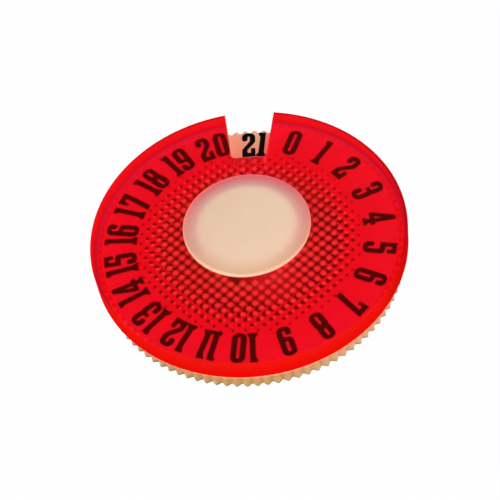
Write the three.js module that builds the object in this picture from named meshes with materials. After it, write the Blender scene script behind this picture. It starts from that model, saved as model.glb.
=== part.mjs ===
// Life counter: a serrated number wheel with a window dial that turns on it.
// The dial is held by a glued hub, an axle disc through its hole and a thin cap over it.
// Lengths are in millimetres and angles in degrees. +Z is the turning axis, the wheel's
// flat underside is at z = 0, and the number that shows in the window lies towards +Y.

import * as THREE from 'three';

// Number wheel
const wheelThickness = 2.8;
const wheelTipRadius = 18.5;
const toothCount = 96;
const toothDepth = 0.4;
const wheelEdgeBreak = 0.06;

// Window dial
const dialThickness = 2.8;
const dialRadius = 19.05;
const dialEdgeBreak = 0.1;
const dialRestTurn = 1.2;
const windowRimWidth = 6.2;
const windowEndWidth = 4.4;
const windowEndRadius = 11.5;
const windowCornerRadius = 0.6;

// Hub
const axleRadius = 6;
const axleEdgeBreak = 0.1;
const capRadius = 7.63;
const capThickness = 0.5;
const capEdgeRadius = 0.2;

// Running clearances of the dial: round the axle, over the wheel and under the cap
const boreClearance = 0.1;
const underClearance = 0.1;
const overClearance = 0.8;

// One tooth, from root to root: place along the pitch and height as a share of the depth
const toothShares = [
  [-0.44, 0],
  [-0.09, 0.88],
  [0, 1],
  [0.09, 0.88],
  [0.44, 0],
];

// Sides of the round outlines
const dialSides = 144;
const boreSides = 72;
const capSides = 96;
const cornerSides = 5;
const edgeSides = 3;

// Stack of the pieces along the axis
const dialBase = wheelThickness + underClearance;
const axleHeight = underClearance + dialThickness + overClearance;
const capBase = wheelThickness + axleHeight;

const toothTurn = 2 * Math.PI / toothCount;
const quarterTurn = Math.PI / 2;

function polar(radius, angle) {
  return new THREE.Vector2(radius * Math.cos(angle), radius * Math.sin(angle));
}

// A flat outline given a thickness, with its sharp edges broken by a small chamfer.
function sheetPiece(outline, thickness, edgeBreak) {
  const geometry = new THREE.ExtrudeGeometry(outline, {
    depth: thickness - 2 * edgeBreak,
    steps: 1,
    curveSegments: boreSides,
    bevelEnabled: true,
    bevelThickness: edgeBreak,
    bevelSize: edgeBreak,
    bevelOffset: -edgeBreak,
    bevelSegments: 1,
  });
  geometry.translate(0, 0, edgeBreak);
  return geometry;
}

// The wheel's serrated outline, with a tooth tip on +Y.
function serratedOutline() {
  const rootRadius = wheelTipRadius - toothDepth;
  const points = [];
  for (let tooth = 0; tooth < toothCount; tooth += 1) {
    const centre = quarterTurn + tooth * toothTurn;
    for (const [placeShare, heightShare] of toothShares) {
      points.push(polar(rootRadius + heightShare * toothDepth, centre + placeShare * toothTurn));
    }
  }
  return new THREE.Shape(points);
}

// Points of the arc that rounds the corner between two straight sides.
function roundedCorner(before, corner, after, radius) {
  const toBefore = before.clone().sub(corner).normalize();
  const toAfter = after.clone().sub(corner).normalize();
  const halfAngle = Math.acos(toBefore.dot(toAfter)) / 2;
  const bisector = toBefore.clone().add(toAfter).normalize();
  const centre = corner.clone().addScaledVector(bisector, radius / Math.sin(halfAngle));
  const first = corner.clone().addScaledVector(toBefore, radius / Math.tan(halfAngle)).sub(centre);
  const last = corner.clone().addScaledVector(toAfter, radius / Math.tan(halfAngle)).sub(centre);
  const points = [];
  for (let side = 0; side <= cornerSides; side += 1) {
    const direction = first.clone().lerp(last, side / cornerSides).normalize();
    points.push(centre.clone().addScaledVector(direction, radius));
  }
  return points;
}

// The dial's outline: a round rim, broken at +Y by a tapered window with rounded inner
// corners, and the hole for the axle in the middle.
function dialOutline() {
  const rimHalfTurn = Math.asin(windowRimWidth / 2 / dialRadius);
  const rimRight = polar(dialRadius, quarterTurn - rimHalfTurn);
  const rimLeft = polar(dialRadius, quarterTurn + rimHalfTurn);
  const endRight = new THREE.Vector2(windowEndWidth / 2, windowEndRadius);
  const endLeft = new THREE.Vector2(-windowEndWidth / 2, windowEndRadius);
  const points = [
    ...roundedCorner(rimRight, endRight, endLeft, windowCornerRadius),
    ...roundedCorner(endRight, endLeft, rimLeft, windowCornerRadius),
  ];
  const rimTurn = 2 * Math.PI - 2 * rimHalfTurn;
  for (let side = 0; side <= dialSides; side += 1) {
    points.push(polar(dialRadius, quarterTurn + rimHalfTurn + rimTurn * side / dialSides));
  }
  const outline = new THREE.Shape(points);
  const bore = new THREE.Path();
  bore.absarc(0, 0, axleRadius + boreClearance, 0, 2 * Math.PI, true);
  outline.holes.push(bore);
  return outline;
}

// A disc turned about the axis, with its upper and lower edges chamfered.
function axleDisc() {
  const profile = [
    new THREE.Vector2(0, 0),
    new THREE.Vector2(axleRadius - axleEdgeBreak, 0),
    new THREE.Vector2(axleRadius, axleEdgeBreak),
    new THREE.Vector2(axleRadius, axleHeight - axleEdgeBreak),
    new THREE.Vector2(axleRadius - axleEdgeBreak, axleHeight),
    new THREE.Vector2(0, axleHeight),
  ];
  return turned(profile, boreSides);
}

// The thin cap, flat below and with its upper edge rounded over.
function capDisc() {
  const profile = [new THREE.Vector2(0, 0), new THREE.Vector2(capRadius, 0)];
  const edgeCentre = new THREE.Vector2(capRadius - capEdgeRadius, capThickness - capEdgeRadius);
  for (let side = 0; side <= edgeSides; side += 1) {
    profile.push(polar(capEdgeRadius, quarterTurn * side / edgeSides).add(edgeCentre));
  }
  profile.push(new THREE.Vector2(0, capThickness));
  return turned(profile, capSides);
}

// A profile of radius and height turned about +Z.
function turned(profile, sides) {
  const geometry = new THREE.LatheGeometry(profile, sides);
  geometry.rotateX(quarterTurn);
  return geometry;
}

const ivoryAcrylic = new THREE.MeshStandardMaterial({ color: 0xe3c39b, roughness: 0.35, metalness: 0 });
const ivoryCapStock = new THREE.MeshStandardMaterial({ color: 0xe8cba8, roughness: 0.3, metalness: 0 });
const redAcrylic = new THREE.MeshStandardMaterial({ color: 0xec1225, roughness: 0.12, metalness: 0 });

function piece(name, geometry, material, height) {
  const mesh = new THREE.Mesh(geometry, material);
  mesh.name = name;
  mesh.position.z = height;
  return mesh;
}

const numberWheel = piece(
  'number_wheel',
  sheetPiece(serratedOutline(), wheelThickness, wheelEdgeBreak),
  ivoryAcrylic,
  0,
);

const topDial = piece(
  'top_dial',
  sheetPiece(dialOutline(), dialThickness, dialEdgeBreak),
  redAcrylic,
  dialBase,
);
topDial.rotation.z = THREE.MathUtils.degToRad(dialRestTurn);

const hubAxle = piece('hub_axle', axleDisc(), ivoryAcrylic, wheelThickness);
const hubCap = piece('hub_cap', capDisc(), ivoryCapStock, capBase);

const lifeCounter = new THREE.Group();
lifeCounter.name = 'life_counter';

const hub = new THREE.Group();
hub.name = 'hub';
hub.add(hubAxle, hubCap);

lifeCounter.add(numberWheel, topDial, hub);

export default lifeCounter;
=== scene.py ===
"""Life counter: a clear red window dial over an ivory number wheel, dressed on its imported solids."""

import math

import bmesh
import bpy
from bpy.props import FloatProperty, FloatVectorProperty, IntProperty, PointerProperty
from bpy.types import Operator, Panel, PropertyGroup
from mathutils import Matrix, Vector


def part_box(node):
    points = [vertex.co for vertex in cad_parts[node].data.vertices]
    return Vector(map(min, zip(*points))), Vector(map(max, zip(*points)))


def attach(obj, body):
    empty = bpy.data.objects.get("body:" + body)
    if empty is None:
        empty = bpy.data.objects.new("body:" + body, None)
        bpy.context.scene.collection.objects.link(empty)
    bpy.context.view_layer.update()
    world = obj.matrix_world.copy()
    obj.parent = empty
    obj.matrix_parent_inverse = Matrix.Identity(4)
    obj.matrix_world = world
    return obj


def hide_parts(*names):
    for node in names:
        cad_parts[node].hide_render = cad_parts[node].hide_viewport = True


bl_info = {
    "name": "Life Counter",
    "version": (1, 0, 0),
    "blender": (4, 5, 0),
    "location": "View3D > Sidebar > Life Counter",
    "description": "Makes the wheel, numbers, dial and hub of a life counter, and the stage it stands on",
    "category": "Object",
}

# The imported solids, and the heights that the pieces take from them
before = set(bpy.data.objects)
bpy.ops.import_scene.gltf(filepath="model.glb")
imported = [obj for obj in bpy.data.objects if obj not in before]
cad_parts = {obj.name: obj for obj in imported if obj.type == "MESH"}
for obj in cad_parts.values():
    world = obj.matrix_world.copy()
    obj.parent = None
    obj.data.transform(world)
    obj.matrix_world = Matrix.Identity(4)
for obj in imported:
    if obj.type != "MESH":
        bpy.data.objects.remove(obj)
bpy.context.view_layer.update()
WHEEL_LOW, WHEEL_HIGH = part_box("number_wheel")
DIAL_LOW, DIAL_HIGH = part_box("top_dial")
AXLE_LOW, AXLE_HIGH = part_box("hub_axle")
CAP_LOW, CAP_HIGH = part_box("hub_cap")

MM = 0.001
AXIS = Vector((0.0, 0.0, 0.0))
# Corners this close become one, as a piece is drawn, and after it is spun or cut
WELD, JOIN = 1e-7, 1e-6

# Outlines of the digits in millimetres round their own centres. Each corner is x, y and its rounding.
DIGIT_OUTLINES = {
    "0": [
        [(-0.87, -2.0, 0.74), (0.87, -2.0, 0.74), (0.87, 2.0, 0.74), (-0.87, 2.0, 0.74)],
        [(-0.18, -1.42, 0.17), (0.18, -1.42, 0.17), (0.18, 1.42, 0.17), (-0.18, 1.42, 0.17)],
    ],
    "1": [
        [
            (-0.60, -2.0, 0.04), (0.60, -2.0, 0.04), (0.60, -1.74, 0.08), (0.36, -1.3, 0.3),
            (0.36, 2.0, 0.05), (-0.56, 2.0, 0.05), (-0.56, 1.70, 0.08), (-0.32, 1.35, 0.3),
            (-0.32, -1.3, 0.3), (-0.60, -1.74, 0.08),
        ],
    ],
    "2": [
        [
            (-0.84, -2.0, 0.04), (0.84, -2.0, 0.04), (0.84, -0.60, 0.12), (0.27, -0.60, 0.12),
            (0.27, -1.36, 0.12), (-0.17, -1.36, 0.16), (-0.17, -0.85, 0.25), (0.85, 0.45, 0.6),
            (0.85, 2.0, 0.84), (-0.85, 2.0, 0.8), (-0.85, 0.66, 0.3), (-0.14, 0.66, 0.3),
            (-0.14, 1.42, 0.14), (0.16, 1.42, 0.15), (0.16, 0.62, 0.25), (-0.84, -0.75, 0.6),
        ],
    ],
    "3": [
        [
            (-0.84, -2.0, 0.7), (0.85, -2.0, 0.76), (0.85, 0.03, 0.35), (0.62, 0.17, 0.08),
            (0.83, 0.32, 0.35), (0.83, 2.0, 0.76), (-0.84, 2.0, 0.7), (-0.84, 0.68, 0.28),
            (-0.16, 0.68, 0.28), (-0.16, 1.44, 0.15), (0.17, 1.44, 0.15), (0.17, 0.40, 0.15),
            (-0.46, 0.40, 0.14), (-0.46, -0.10, 0.14), (0.17, -0.10, 0.15), (0.17, -1.44, 0.15),
            (-0.16, -1.44, 0.15), (-0.16, -0.60, 0.28), (-0.84, -0.60, 0.28),
        ],
    ],
    "4": [
        [
            (-0.26, -2.0, 0.04), (0.86, -2.0, 0.04), (0.86, -1.66, 0.14), (0.58, -1.5, 0.1),
            (0.58, -1.12, 0.06), (0.92, -1.12, 0.06), (0.92, -0.55, 0.06), (0.60, -0.55, 0.06),
            (0.60, 2.0, 0.2), (-0.06, 2.0, 0.2), (-0.92, -0.62, 0.12), (-0.92, -1.12, 0.06),
            (0.0, -1.12, 0.06), (0.0, -1.5, 0.1), (-0.26, -1.66, 0.14),
        ],
        [(-0.30, -0.56, 0.05), (0.02, -0.56, 0.05), (0.02, 0.55, 0.05)],
    ],
    "5": [
        [
            (-0.85, -2.0, 0.72), (0.85, -2.0, 0.72), (0.85, 0.64, 0.5), (-0.24, 0.64, 0.1),
            (-0.24, 1.42, 0.1), (0.20, 1.42, 0.06), (0.20, 0.86, 0.14), (0.76, 0.86, 0.14),
            (0.76, 2.0, 0.04), (-0.84, 2.0, 0.04), (-0.84, -0.02, 0.06), (0.17, -0.02, 0.17),
            (0.17, -1.44, 0.15), (-0.15, -1.44, 0.15), (-0.15, -0.70, 0.28), (-0.85, -0.70, 0.28),
        ],
    ],
    "6": [
        [
            (-0.86, -2.0, 0.74), (0.86, -2.0, 0.74), (0.86, 0.52, 0.66), (-0.18, 0.52, 0.3),
            (-0.18, 1.46, 0.16), (0.15, 1.46, 0.15), (0.15, 0.82, 0.28), (0.84, 0.82, 0.3),
            (0.84, 2.0, 0.74), (-0.86, 2.0, 0.74),
        ],
        [(-0.18, -1.46, 0.17), (0.18, -1.46, 0.17), (0.18, 0.0, 0.17), (-0.18, 0.0, 0.17)],
    ],
    "7": [
        [
            (-0.44, -2.0, 0.08), (0.30, -2.0, 0.08), (0.86, 1.35, 0.3), (0.86, 2.0, 0.04),
            (-0.84, 2.0, 0.04), (-0.84, 0.66, 0.16), (-0.34, 0.66, 0.16), (-0.34, 1.34, 0.1),
            (0.18, 1.34, 0.1),
        ],
    ],
    "8": [
        [
            (-0.86, -2.0, 0.74), (0.86, -2.0, 0.74), (0.86, 0.0, 0.5), (0.66, 0.12, 0.1),
            (0.82, 0.27, 0.5), (0.82, 2.0, 0.72), (-0.82, 2.0, 0.72), (-0.82, 0.27, 0.5),
            (-0.66, 0.12, 0.1), (-0.86, 0.0, 0.5),
        ],
        [(-0.17, 0.50, 0.16), (0.17, 0.50, 0.16), (0.17, 1.5, 0.16), (-0.17, 1.5, 0.16)],
        [(-0.17, -1.5, 0.16), (0.17, -1.5, 0.16), (0.17, -0.28, 0.16), (-0.17, -0.28, 0.16)],
    ],
}
DIGIT_OUTLINES["9"] = [[(-x, -y, r) for x, y, r in outline] for outline in DIGIT_OUTLINES["6"]]

# Each number and its place on the wheel, in degrees clockwise from +Y
NUMBER_PLACES = (
    ("21", -0.55), ("0", 18.5), ("1", 33.9), ("2", 48.4), ("3", 65.15), ("4", 81.5), ("5", 98.1),
    ("6", 113.9), ("7", 129.7), ("8", 146.1), ("9", 162.5), ("10", 180.65), ("11", 195.4),
    ("12", 210.25), ("13", 226.1), ("14", 242.7), ("15", 258.8), ("16", 275.15), ("17", 291.4),
    ("18", 307.6), ("19", 323.8), ("20", 340.95),
)

# How far a digit carries the next one round the ring, in degrees
NARROW_STEP, WIDE_STEP = 4.2, 7.9

# Light dots under the dial: distance from the axis and dot radius, in millimetres
LIGHT_DOT_SIZES = (
    (6.2, 0.56), (8.2, 0.55), (9.0, 0.52), (9.7, 0.48), (10.5, 0.40), (11.2, 0.32), (12.0, 0.20),
    (12.8, 0.08), (13.0, 0.0),
)

# Values that the looks share
BLACK = (0.0, 0.0, 0.0)
ACRYLIC_IOR = 1.49
DOT_GRID_TURN = math.radians(45)
LIGHT_DOT_MIN = 0.03

# Where the wheel's looks change: from one place or height to another
TOP_FACE_DEPTH = 0.03 * MM
DIAL_LIGHT_REACH = (12.5 * MM, 18.5 * MM)
# Painted light: the wheel's cut edge is drawn lighter towards its sides, more so towards +X
SIDE_LIGHT_LEFT = (-5.0 * MM, -11.0 * MM)
SIDE_LIGHT_RIGHT = (4.0 * MM, 14.0 * MM)
# Painted shade: the wheel's cut edge darkens towards its foot, more so towards -X
FOOT_SHADE_HEIGHT = (0.1 * MM, 0.5 * MM)
FOOT_SHADE_ACROSS = (-13.0 * MM, 0.0)
ABOVE_WHEEL = 0.5 * MM
AXLE_GLOW_REACH = 5.4 * MM
# Painted light: the printed dots are drawn lighter towards the far side, +Y
FAR_DOT_LIGHT_ALONG = (1.0 * MM, 11.0 * MM)
# Painted reflection of the cap's bright edge: the dots are drawn lighter round a spot beside the hub's near
# side
REFLECTION_MIDDLE = (3.0 * MM, -6.6 * MM)
REFLECTION_REACH = (3.8 * MM, 1.6 * MM)
# The dial's painted glow falls past its edge at a slant, so much down for each length outwards
GLOW_SLANT = 1.245
DIAL_GLOW_HEIGHTS = (DIAL_LOW.z - 0.55 * MM, DIAL_LOW.z - 0.35 * MM)

# Where the dial's looks change, and the ways that its rim's glow leans
UNDERSIDE_DEPTH = 0.12 * MM
# Painted shade: a dark line along the dial's far and right edge, which fades in towards that side
FAR_RIGHT = (0.02, 0.04, 0.0)
EDGE_SHADE_FADE = 0.4 * MM
FAR_SIDE = (-0.005, 0.05, 0.0)
# Painted shade on the dial's underside over the teeth's gaps and past the teeth, weaker towards -Y, with
# another shade towards +X and -Y
INWARDS = (-15.0 * MM, -8.0 * MM)
GAPS_REACH = (17.82 * MM, 18.06 * MM)
PAST_TEETH_REACH = (18.2 * MM, 18.7 * MM)
DEEP_RIGHT = (2.0 * MM, 16.0 * MM)
DEEP_NEAR = (10.0 * MM, 0.0)
# Where the painted dark edge line lies and where the rim's painted glow lies, and the glow at the rim and
# on that line
EDGE_SHADE_REACH = (18.65 * MM, 18.85 * MM)
RIM_SHINE_REACH = (18.55 * MM, 18.85 * MM)
RIM_SHINE = (2.2, 0.1, 0.3)
EDGE_SHADE_SHINE = (0.5, 0.0, 0.1)
WALL_RIGHT = (15.5 * MM, 18.5 * MM)

# Where the cap's looks change
# Painted red light: the dial's red seen through the cap is drawn on its rim, redder towards the far side
CAP_RED_LIGHT_WAY = 6.5 * MM
CAP_RED_LIGHT_REACH = (5.1 * MM, 7.6 * MM)
CAP_EDGE_HEIGHT = (CAP_LOW.z + 0.35 * MM, CAP_LOW.z + 0.5 * MM)
CAP_BRINK_REACH = (7.45 * MM, 7.55 * MM)
CAP_BRINK_LEFT = (0.0, -5.0 * MM)

# The camera's sensor in millimetres, and the picture in pixels
SENSOR_WIDTH, PICTURE_WIDTH = 36.0, 500

# Lamps: name, azimuth, elevation, distance, width, depth and power
LAMPS = (
    ("key_lamp", 60.0, 62.0, 0.55, 0.34, 0.26, 2.05),
    ("fill_lamp", -40.0, 38.0, 0.6, 0.36, 0.3, 1.34),
    ("back_lamp", 165.0, 28.0, 0.6, 0.4, 0.16, 0.52),
)


def length(name, about, millimetres):
    return FloatProperty(
        name=name, description=about, default=millimetres * MM, min=0.0, max=1.0,
        unit="LENGTH", subtype="DISTANCE", precision=5,
    )


def angle(name, about, degrees):
    return FloatProperty(
        name=name, description=about, default=math.radians(degrees), subtype="ANGLE", unit="ROTATION"
    )


def plain_number(name, about, default, low=0.0):
    return FloatProperty(name=name, description=about, default=default, min=low)


def colour(name, about, *default):
    return FloatVectorProperty(
        name=name, description=about, default=default, size=3, min=0.0, max=1.0, subtype="COLOR"
    )


class LIFECOUNTER_PG_sizes(PropertyGroup):
    wheel_radius: length("Wheel radius", "From the axis to the tips of the teeth", 18.5)
    tooth_count: IntProperty(name="Teeth", description="Teeth round the wheel", default=96, min=12, max=240)
    tooth_depth: length("Tooth depth", "Height of a tooth over its root", 0.4)
    wheel_edge: length("Wheel edge", "Width of the broken edge of the wheel", 0.06)
    dial_radius: length("Dial radius", "Radius of the red dial", 19.05)
    dial_edge: length("Dial edge", "Width of the rounded edge of the dial", 0.1)
    dial_bore: length("Dial hole", "Radius of the hole for the axle", 6.1)
    dial_turn: angle("Dial turn", "How far the dial stands turned at rest", 1.2)
    window_rim: length("Window at the rim", "Width of the window at the rim", 6.2)
    window_end: length("Window end", "Width of the straight inner end of the window", 4.4)
    window_reach: length("Window reach", "From the axis to the inner end of the window", 11.5)
    window_corner: length("Window corner", "Rounding of the window's inner corners", 0.6)
    axle_radius: length("Axle radius", "Radius of the disc inside the dial's hole", 6.0)
    axle_edge: length("Axle edge", "Width of the broken edge of the axle disc", 0.1)
    cap_radius: length("Cap radius", "Radius of the thin cap over the hub", 7.63)
    cap_edge: length("Cap edge", "Rounding of the cap's upper edge", 0.2)
    cap_foot: length("Cap foot", "Rounding of the cap's lower edge", 0.03)
    number_ring: length("Number ring", "From the axis to the middle of the numbers", 15.74)
    shown_number_out: length("Shown number", "How much further out the number in the window is", 0.30)
    numbers_right: length("Numbers to the right", "How far the ring of numbers stands towards +X", 0.05)
    numbers_out: length("Numbers outwards", "How far the ring of numbers stands towards +Y", 0.03)
    ink_height: length("Ink height", "How far the inked numbers stand over the wheel", 0.02)
    dot_pitch: length("Dot pitch", "Distance between the dots along their grid", 1.035)
    dots_nearer: length("Dots nearer", "How far the middle of the dots lies from the axis", 0.13)
    dial_dot_turn: angle("Dial dot turn", "How far the grid of the dial's dots stands turned at rest", 1.95)


class LIFECOUNTER_PG_colours(PropertyGroup):
    red: colour("Clear red", "What the red sheet lets through", 0.71, 0.066, 0.160)
    red_shade: colour("Red shade", "Light that the red sheet lets onto the wheel", 0.87, 0.27, 0.5)
    # Painted shade: a dark line along the red sheet's far and right edge
    painted_edge_shade: colour("Edge line", "Dark line along the sheet's far and right edge", 0.36, 0.006, 0.012)
    # Painted shade on the red sheet's underside over the teeth's gaps and past the teeth
    gap_shade_colour: colour("Gap red", "Underside of the red sheet over the teeth's gaps", 0.66, 0.0007, 0.0095)
    beyond_teeth_shade: colour("Deep red", "Underside of the red sheet past the teeth", 0.46, 0.0001, 0.0014)
    beyond_teeth_shade_right: colour("Deep red on the right", "The same towards +X and -Y", 0.46, 0.0, 0.0003)
    red_wall: colour("Red wall", "Cut wall of the red sheet", 0.52, 0.003, 0.002)
    wall_glow: colour("Wall glow", "Light that the red wall gives off at its top", 0.50, 0.006, 0.004)
    wall_glow_right: colour("Right wall glow", "The same light towards +X", 0.20, 0.0, 0.0)
    wall_glow_low: colour("Low wall glow", "The same light at the wall's foot", 0.47, 0.001, 0.0)
    shine: colour("Shine", "Light that the red sheet gives off", 1.0, 0.02, 0.0)
    ivory: colour("Ivory", "Face of the ivory sheet", 0.86, 0.66, 0.44)
    glow_inner: colour("Inner glow", "Light of the dial on the wheel's face near the hub", 1.0, 0.36, 0.40)
    glow_outer: colour("Outer glow", "Light of the dial on the wheel's face at the rim", 1.0, 0.82, 0.70)
    ivory_edge: colour("Ivory edge", "Cut edge of the ivory sheet", 0.77, 0.48, 0.09)
    # Painted light on the cut edge towards its sides
    lit_side_edge: colour("Pale edge", "Cut edge of the ivory sheet at its sides", 1.0, 0.58, 0.27)
    # Painted glow of the dial, on the top of the wheel's edge and on the axle disc's rim
    painted_dial_glow: colour("Warm edge", "Top of the wheel's cut edge, in the dial's glow", 1.0, 0.45, 0.26)
    edge_gleam: colour("Edge gleam", "Light that gathers at the top of the wheel's edge", 0.36, 0.10, 0.06)
    # Painted shade at the foot of the wheel's cut edge
    shaded_edge_foot: colour("Shaded edge", "Foot of the wheel's cut edge", 0.20, 0.15, 0.06)
    ink: colour("Number ink", "Ink of the numbers", 0.002, 0.0014, 0.0014)
    dark_dot: colour("Dark dots", "Dots printed on the wheel", 0.05, 0.008, 0.002)
    # Painted light: the printed dots drawn lighter towards the far side
    lit_far_dot: colour("Faint dots", "Dots printed on the far side of the wheel", 0.30, 0.06, 0.02)
    # Painted reflection of the cap's bright edge, on the dots beside the hub's near side
    reflected_dot: colour("Washed dots", "Dots printed beside the hub, in its light", 0.56, 0.22, 0.10)
    light_dot: colour("Light dots", "Middle of the frosted dots under the dial", 0.90, 0.27, 0.095)
    light_dot_edge: colour("Light dot edge", "Edge of the frosted dots", 0.27, 0.012, 0.004)
    cap: colour("Cap", "Ivory of the thin cap", 0.75, 0.67, 0.60)
    # Painted red light of the dial seen through the cap's rim, by side
    cap_far_red_light: colour("Cap far rim", "Far rim of the cap outside the axle", 0.775, 0.18, 0.22)
    cap_side_red_light: colour("Cap side rim", "Rim of the cap at its sides", 0.84, 0.395, 0.34)
    cap_near_red_light: colour("Cap near rim", "Near rim of the cap outside the axle", 0.80, 0.61, 0.41)
    cap_shade: colour("Cap shade", "Light that the cap lets through", 0.97, 0.92, 0.85)
    cap_brink: colour("Cap brink", "Light on the cap's rounded edge towards -X", 0.22, 0.14, 0.08)
    cap_glow: colour("Cap glow", "Light that gathers at the cap's edge", 0.28, 0.26, 0.21)


class LIFECOUNTER_PG_stage(PropertyGroup):
    camera_distance: length("Camera distance", "From the camera to the object", 171.45)
    camera_azimuth: angle("Camera azimuth", "Turn of the camera round the object", 9.8)
    camera_elevation: angle("Camera elevation", "Height of the camera over the horizon", 51.24)
    camera_roll: angle("Camera roll", "Turn of the camera about its own view", -10.09)
    camera_lens: plain_number("Lens", "Focal length in millimetres", 103.43, low=1.0)
    aim_over: plain_number("Aim over the middle", "How high the aim stands, in pixels", 20.39)
    aim_left: plain_number("Aim left of the middle", "How far left the aim stands, in pixels", 2.52)
    lamp_level: plain_number("Lamp level", "Share of the lamps' power", 1.0)
    sky_level: plain_number("Sky level", "Brightness of the soft surround", 0.025)


def sizes():
    return bpy.context.scene.counter_sizes


def colours():
    return bpy.context.scene.counter_colours


# Modelling steps


def start_piece():
    """Nothing is selected and no piece is open."""
    if bpy.context.mode != "OBJECT":
        bpy.ops.object.mode_set(mode="OBJECT")
    bpy.ops.object.select_all(action="DESELECT")


def pick(piece):
    """Only this piece is selected, and it is the active one."""
    start_piece()
    piece.select_set(True)
    bpy.context.view_layer.objects.active = piece


def open_piece():
    bpy.ops.object.mode_set(mode="EDIT")
    bpy.ops.mesh.select_mode(type="VERT")
    bpy.ops.mesh.select_all(action="DESELECT")


def close_piece():
    bpy.ops.object.mode_set(mode="OBJECT")


def select_part(piece, kind, test):
    """Selects the open piece's VERT, EDGE or FACE parts for which test(middle, part) is true."""
    bpy.ops.mesh.select_mode(type=kind)
    bpy.ops.mesh.select_all(action="DESELECT")
    mesh = bmesh.from_edit_mesh(piece.data)
    parts = {"VERT": mesh.verts, "EDGE": mesh.edges, "FACE": mesh.faces}[kind]
    found = 0
    for part in parts:
        if kind == "VERT":
            middle = part.co
        elif kind == "EDGE":
            middle = (part.verts[0].co + part.verts[1].co) / 2
        else:
            middle = part.calc_center_median()
        if test(middle, part):
            part.select_set(True)
            found += 1
    mesh.select_flush_mode()
    bmesh.update_edit_mesh(piece.data)
    if not found:
        raise RuntimeError(f"nothing of {piece.name} was there to select")


def carry_corner(piece, start, end):
    """Moves the corner at start to end."""
    select_part(piece, "VERT", lambda at, v: (at - start).length < WELD)
    bpy.ops.transform.translate(value=end - start)


def draw_ring_in(radius_from, radius_to):
    """Extrudes the selected round edge and draws it in to another radius."""
    bpy.ops.mesh.extrude_region_move()
    share = radius_to / radius_from
    bpy.ops.transform.resize(value=(share, share, 1.0), center_override=AXIS)


def clean_mesh(distance):
    """Joins the open piece's doubled corners and turns its faces outwards."""
    bpy.ops.mesh.select_all(action="SELECT")
    bpy.ops.mesh.remove_doubles(threshold=distance)
    bpy.ops.mesh.normals_make_consistent(inside=False)


def thicken_sheet(thickness):
    """Extrudes the open flat sheet upwards to its thickness."""
    bpy.ops.mesh.select_mode(type="FACE")
    bpy.ops.mesh.select_all(action="SELECT")
    bpy.ops.mesh.extrude_region_move(TRANSFORM_OT_translate={"value": (0.0, 0.0, thickness)})
    clean_mesh(WELD)


def is_rim_edge(edge):
    """True where a flat face meets an upright wall."""
    rises = sorted(abs(face.normal.z) for face in edge.link_faces)
    return len(rises) == 2 and rises[0] < 0.1 and rises[1] > 0.9


def add_modifier(piece, kind, **settings):
    """Adds a modifier with its settings and applies it."""
    bpy.ops.object.modifier_add(type=kind)
    modifier = piece.modifiers[-1]
    for name, value in settings.items():
        setattr(modifier, name, value)
    bpy.ops.object.modifier_apply(modifier=modifier.name)


def name_piece(name):
    piece = bpy.context.object
    piece.name = name
    piece.data.name = name
    return piece


def draw_disc(name, sides, radius, low, high):
    """A round disc about the axis, from one height to another."""
    start_piece()
    bpy.ops.mesh.primitive_cylinder_add(
        vertices=sides, radius=radius, depth=high - low, location=(0.0, 0.0, (low + high) / 2)
    )
    disc = name_piece(name)
    bpy.ops.object.transform_apply(location=True)
    return disc


def finish_piece(piece, body, slot, material, *nodes):
    """Puts the piece's place in its mesh, gives it its finish and lets it ride on its body."""
    pick(piece)
    bpy.ops.object.transform_apply(location=True, rotation=True, scale=True)
    piece.data.materials.clear()
    piece.data.materials.append(material)
    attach(piece, body)
    if nodes:
        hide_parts(*nodes)


def on_circle(radius, turn, height=0.0):
    """The point at a radius, a turn clockwise from +Y and a height."""
    return Vector((radius * math.sin(turn), radius * math.cos(turn), height))


# Material building


def fill_socket(tree, socket, value):
    """Feeds a socket from another one, or gives it a value."""
    if isinstance(value, bpy.types.NodeSocket):
        tree.links.new(value, socket)
    elif socket.type == "RGBA" and len(value) == 3:
        socket.default_value = (*value, 1.0)
    else:
        socket.default_value = value


def add_node(tree, kind, **inputs):
    """A node of a kind. Its settings begin with set_, and its inputs go by name, or by i and a number."""
    node = tree.nodes.new(kind)
    for name, value in inputs.items():
        if name.startswith("set_"):
            setattr(node, name[4:], value)
    for name, value in inputs.items():
        if not name.startswith("set_"):
            key = int(name[1:]) if name[0] == "i" and name[1:].isdigit() else name.replace("_", " ")
            fill_socket(tree, node.inputs[key], value)
    return node


def math_node(tree, operation, *terms, clamp=False):
    inputs = {f"i{i}": term for i, term in enumerate(terms)}
    return add_node(
        tree, "ShaderNodeMath", set_operation=operation, set_use_clamp=clamp, **inputs
    ).outputs[0]


def product(tree, share, *others):
    for other in others:
        share = math_node(tree, "MULTIPLY", share, other)
    return share


def vector_node(tree, operation, *terms, out="Vector"):
    inputs = {f"i{i}": term for i, term in enumerate(terms)}
    return add_node(tree, "ShaderNodeVectorMath", set_operation=operation, **inputs).outputs[out]


def ramp(tree, value, start, end, low=0.0, high=1.0, kind="LINEAR"):
    """A value that runs from low at start to high at end."""
    return add_node(
        tree, "ShaderNodeMapRange", set_interpolation_type=kind,
        Value=value, i1=start, i2=end, i3=low, i4=high,
    ).outputs[0]


def mix_colour(tree, share, first, second, blend="MIX"):
    return add_node(
        tree, "ShaderNodeMix", set_data_type="RGBA", set_blend_type=blend, i0=share, i6=first, i7=second
    ).outputs[2]


def noise(tree, place, scale, detail, **more):
    return add_node(
        tree, "ShaderNodeTexNoise", Vector=place, Scale=scale, Detail=detail, **more
    ).outputs["Fac"]


def bump(tree, height, strength, depth):
    return add_node(tree, "ShaderNodeBump", Strength=strength, Distance=depth, Height=height).outputs[0]


def turned(tree, place, turn, middle=AXIS):
    return add_node(
        tree, "ShaderNodeVectorRotate", set_rotation_type="Z_AXIS", Vector=place, Center=middle, Angle=turn
    ).outputs[0]


def flattened(tree, place):
    return vector_node(tree, "MULTIPLY", place, (1.0, 1.0, 0.0))


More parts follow.
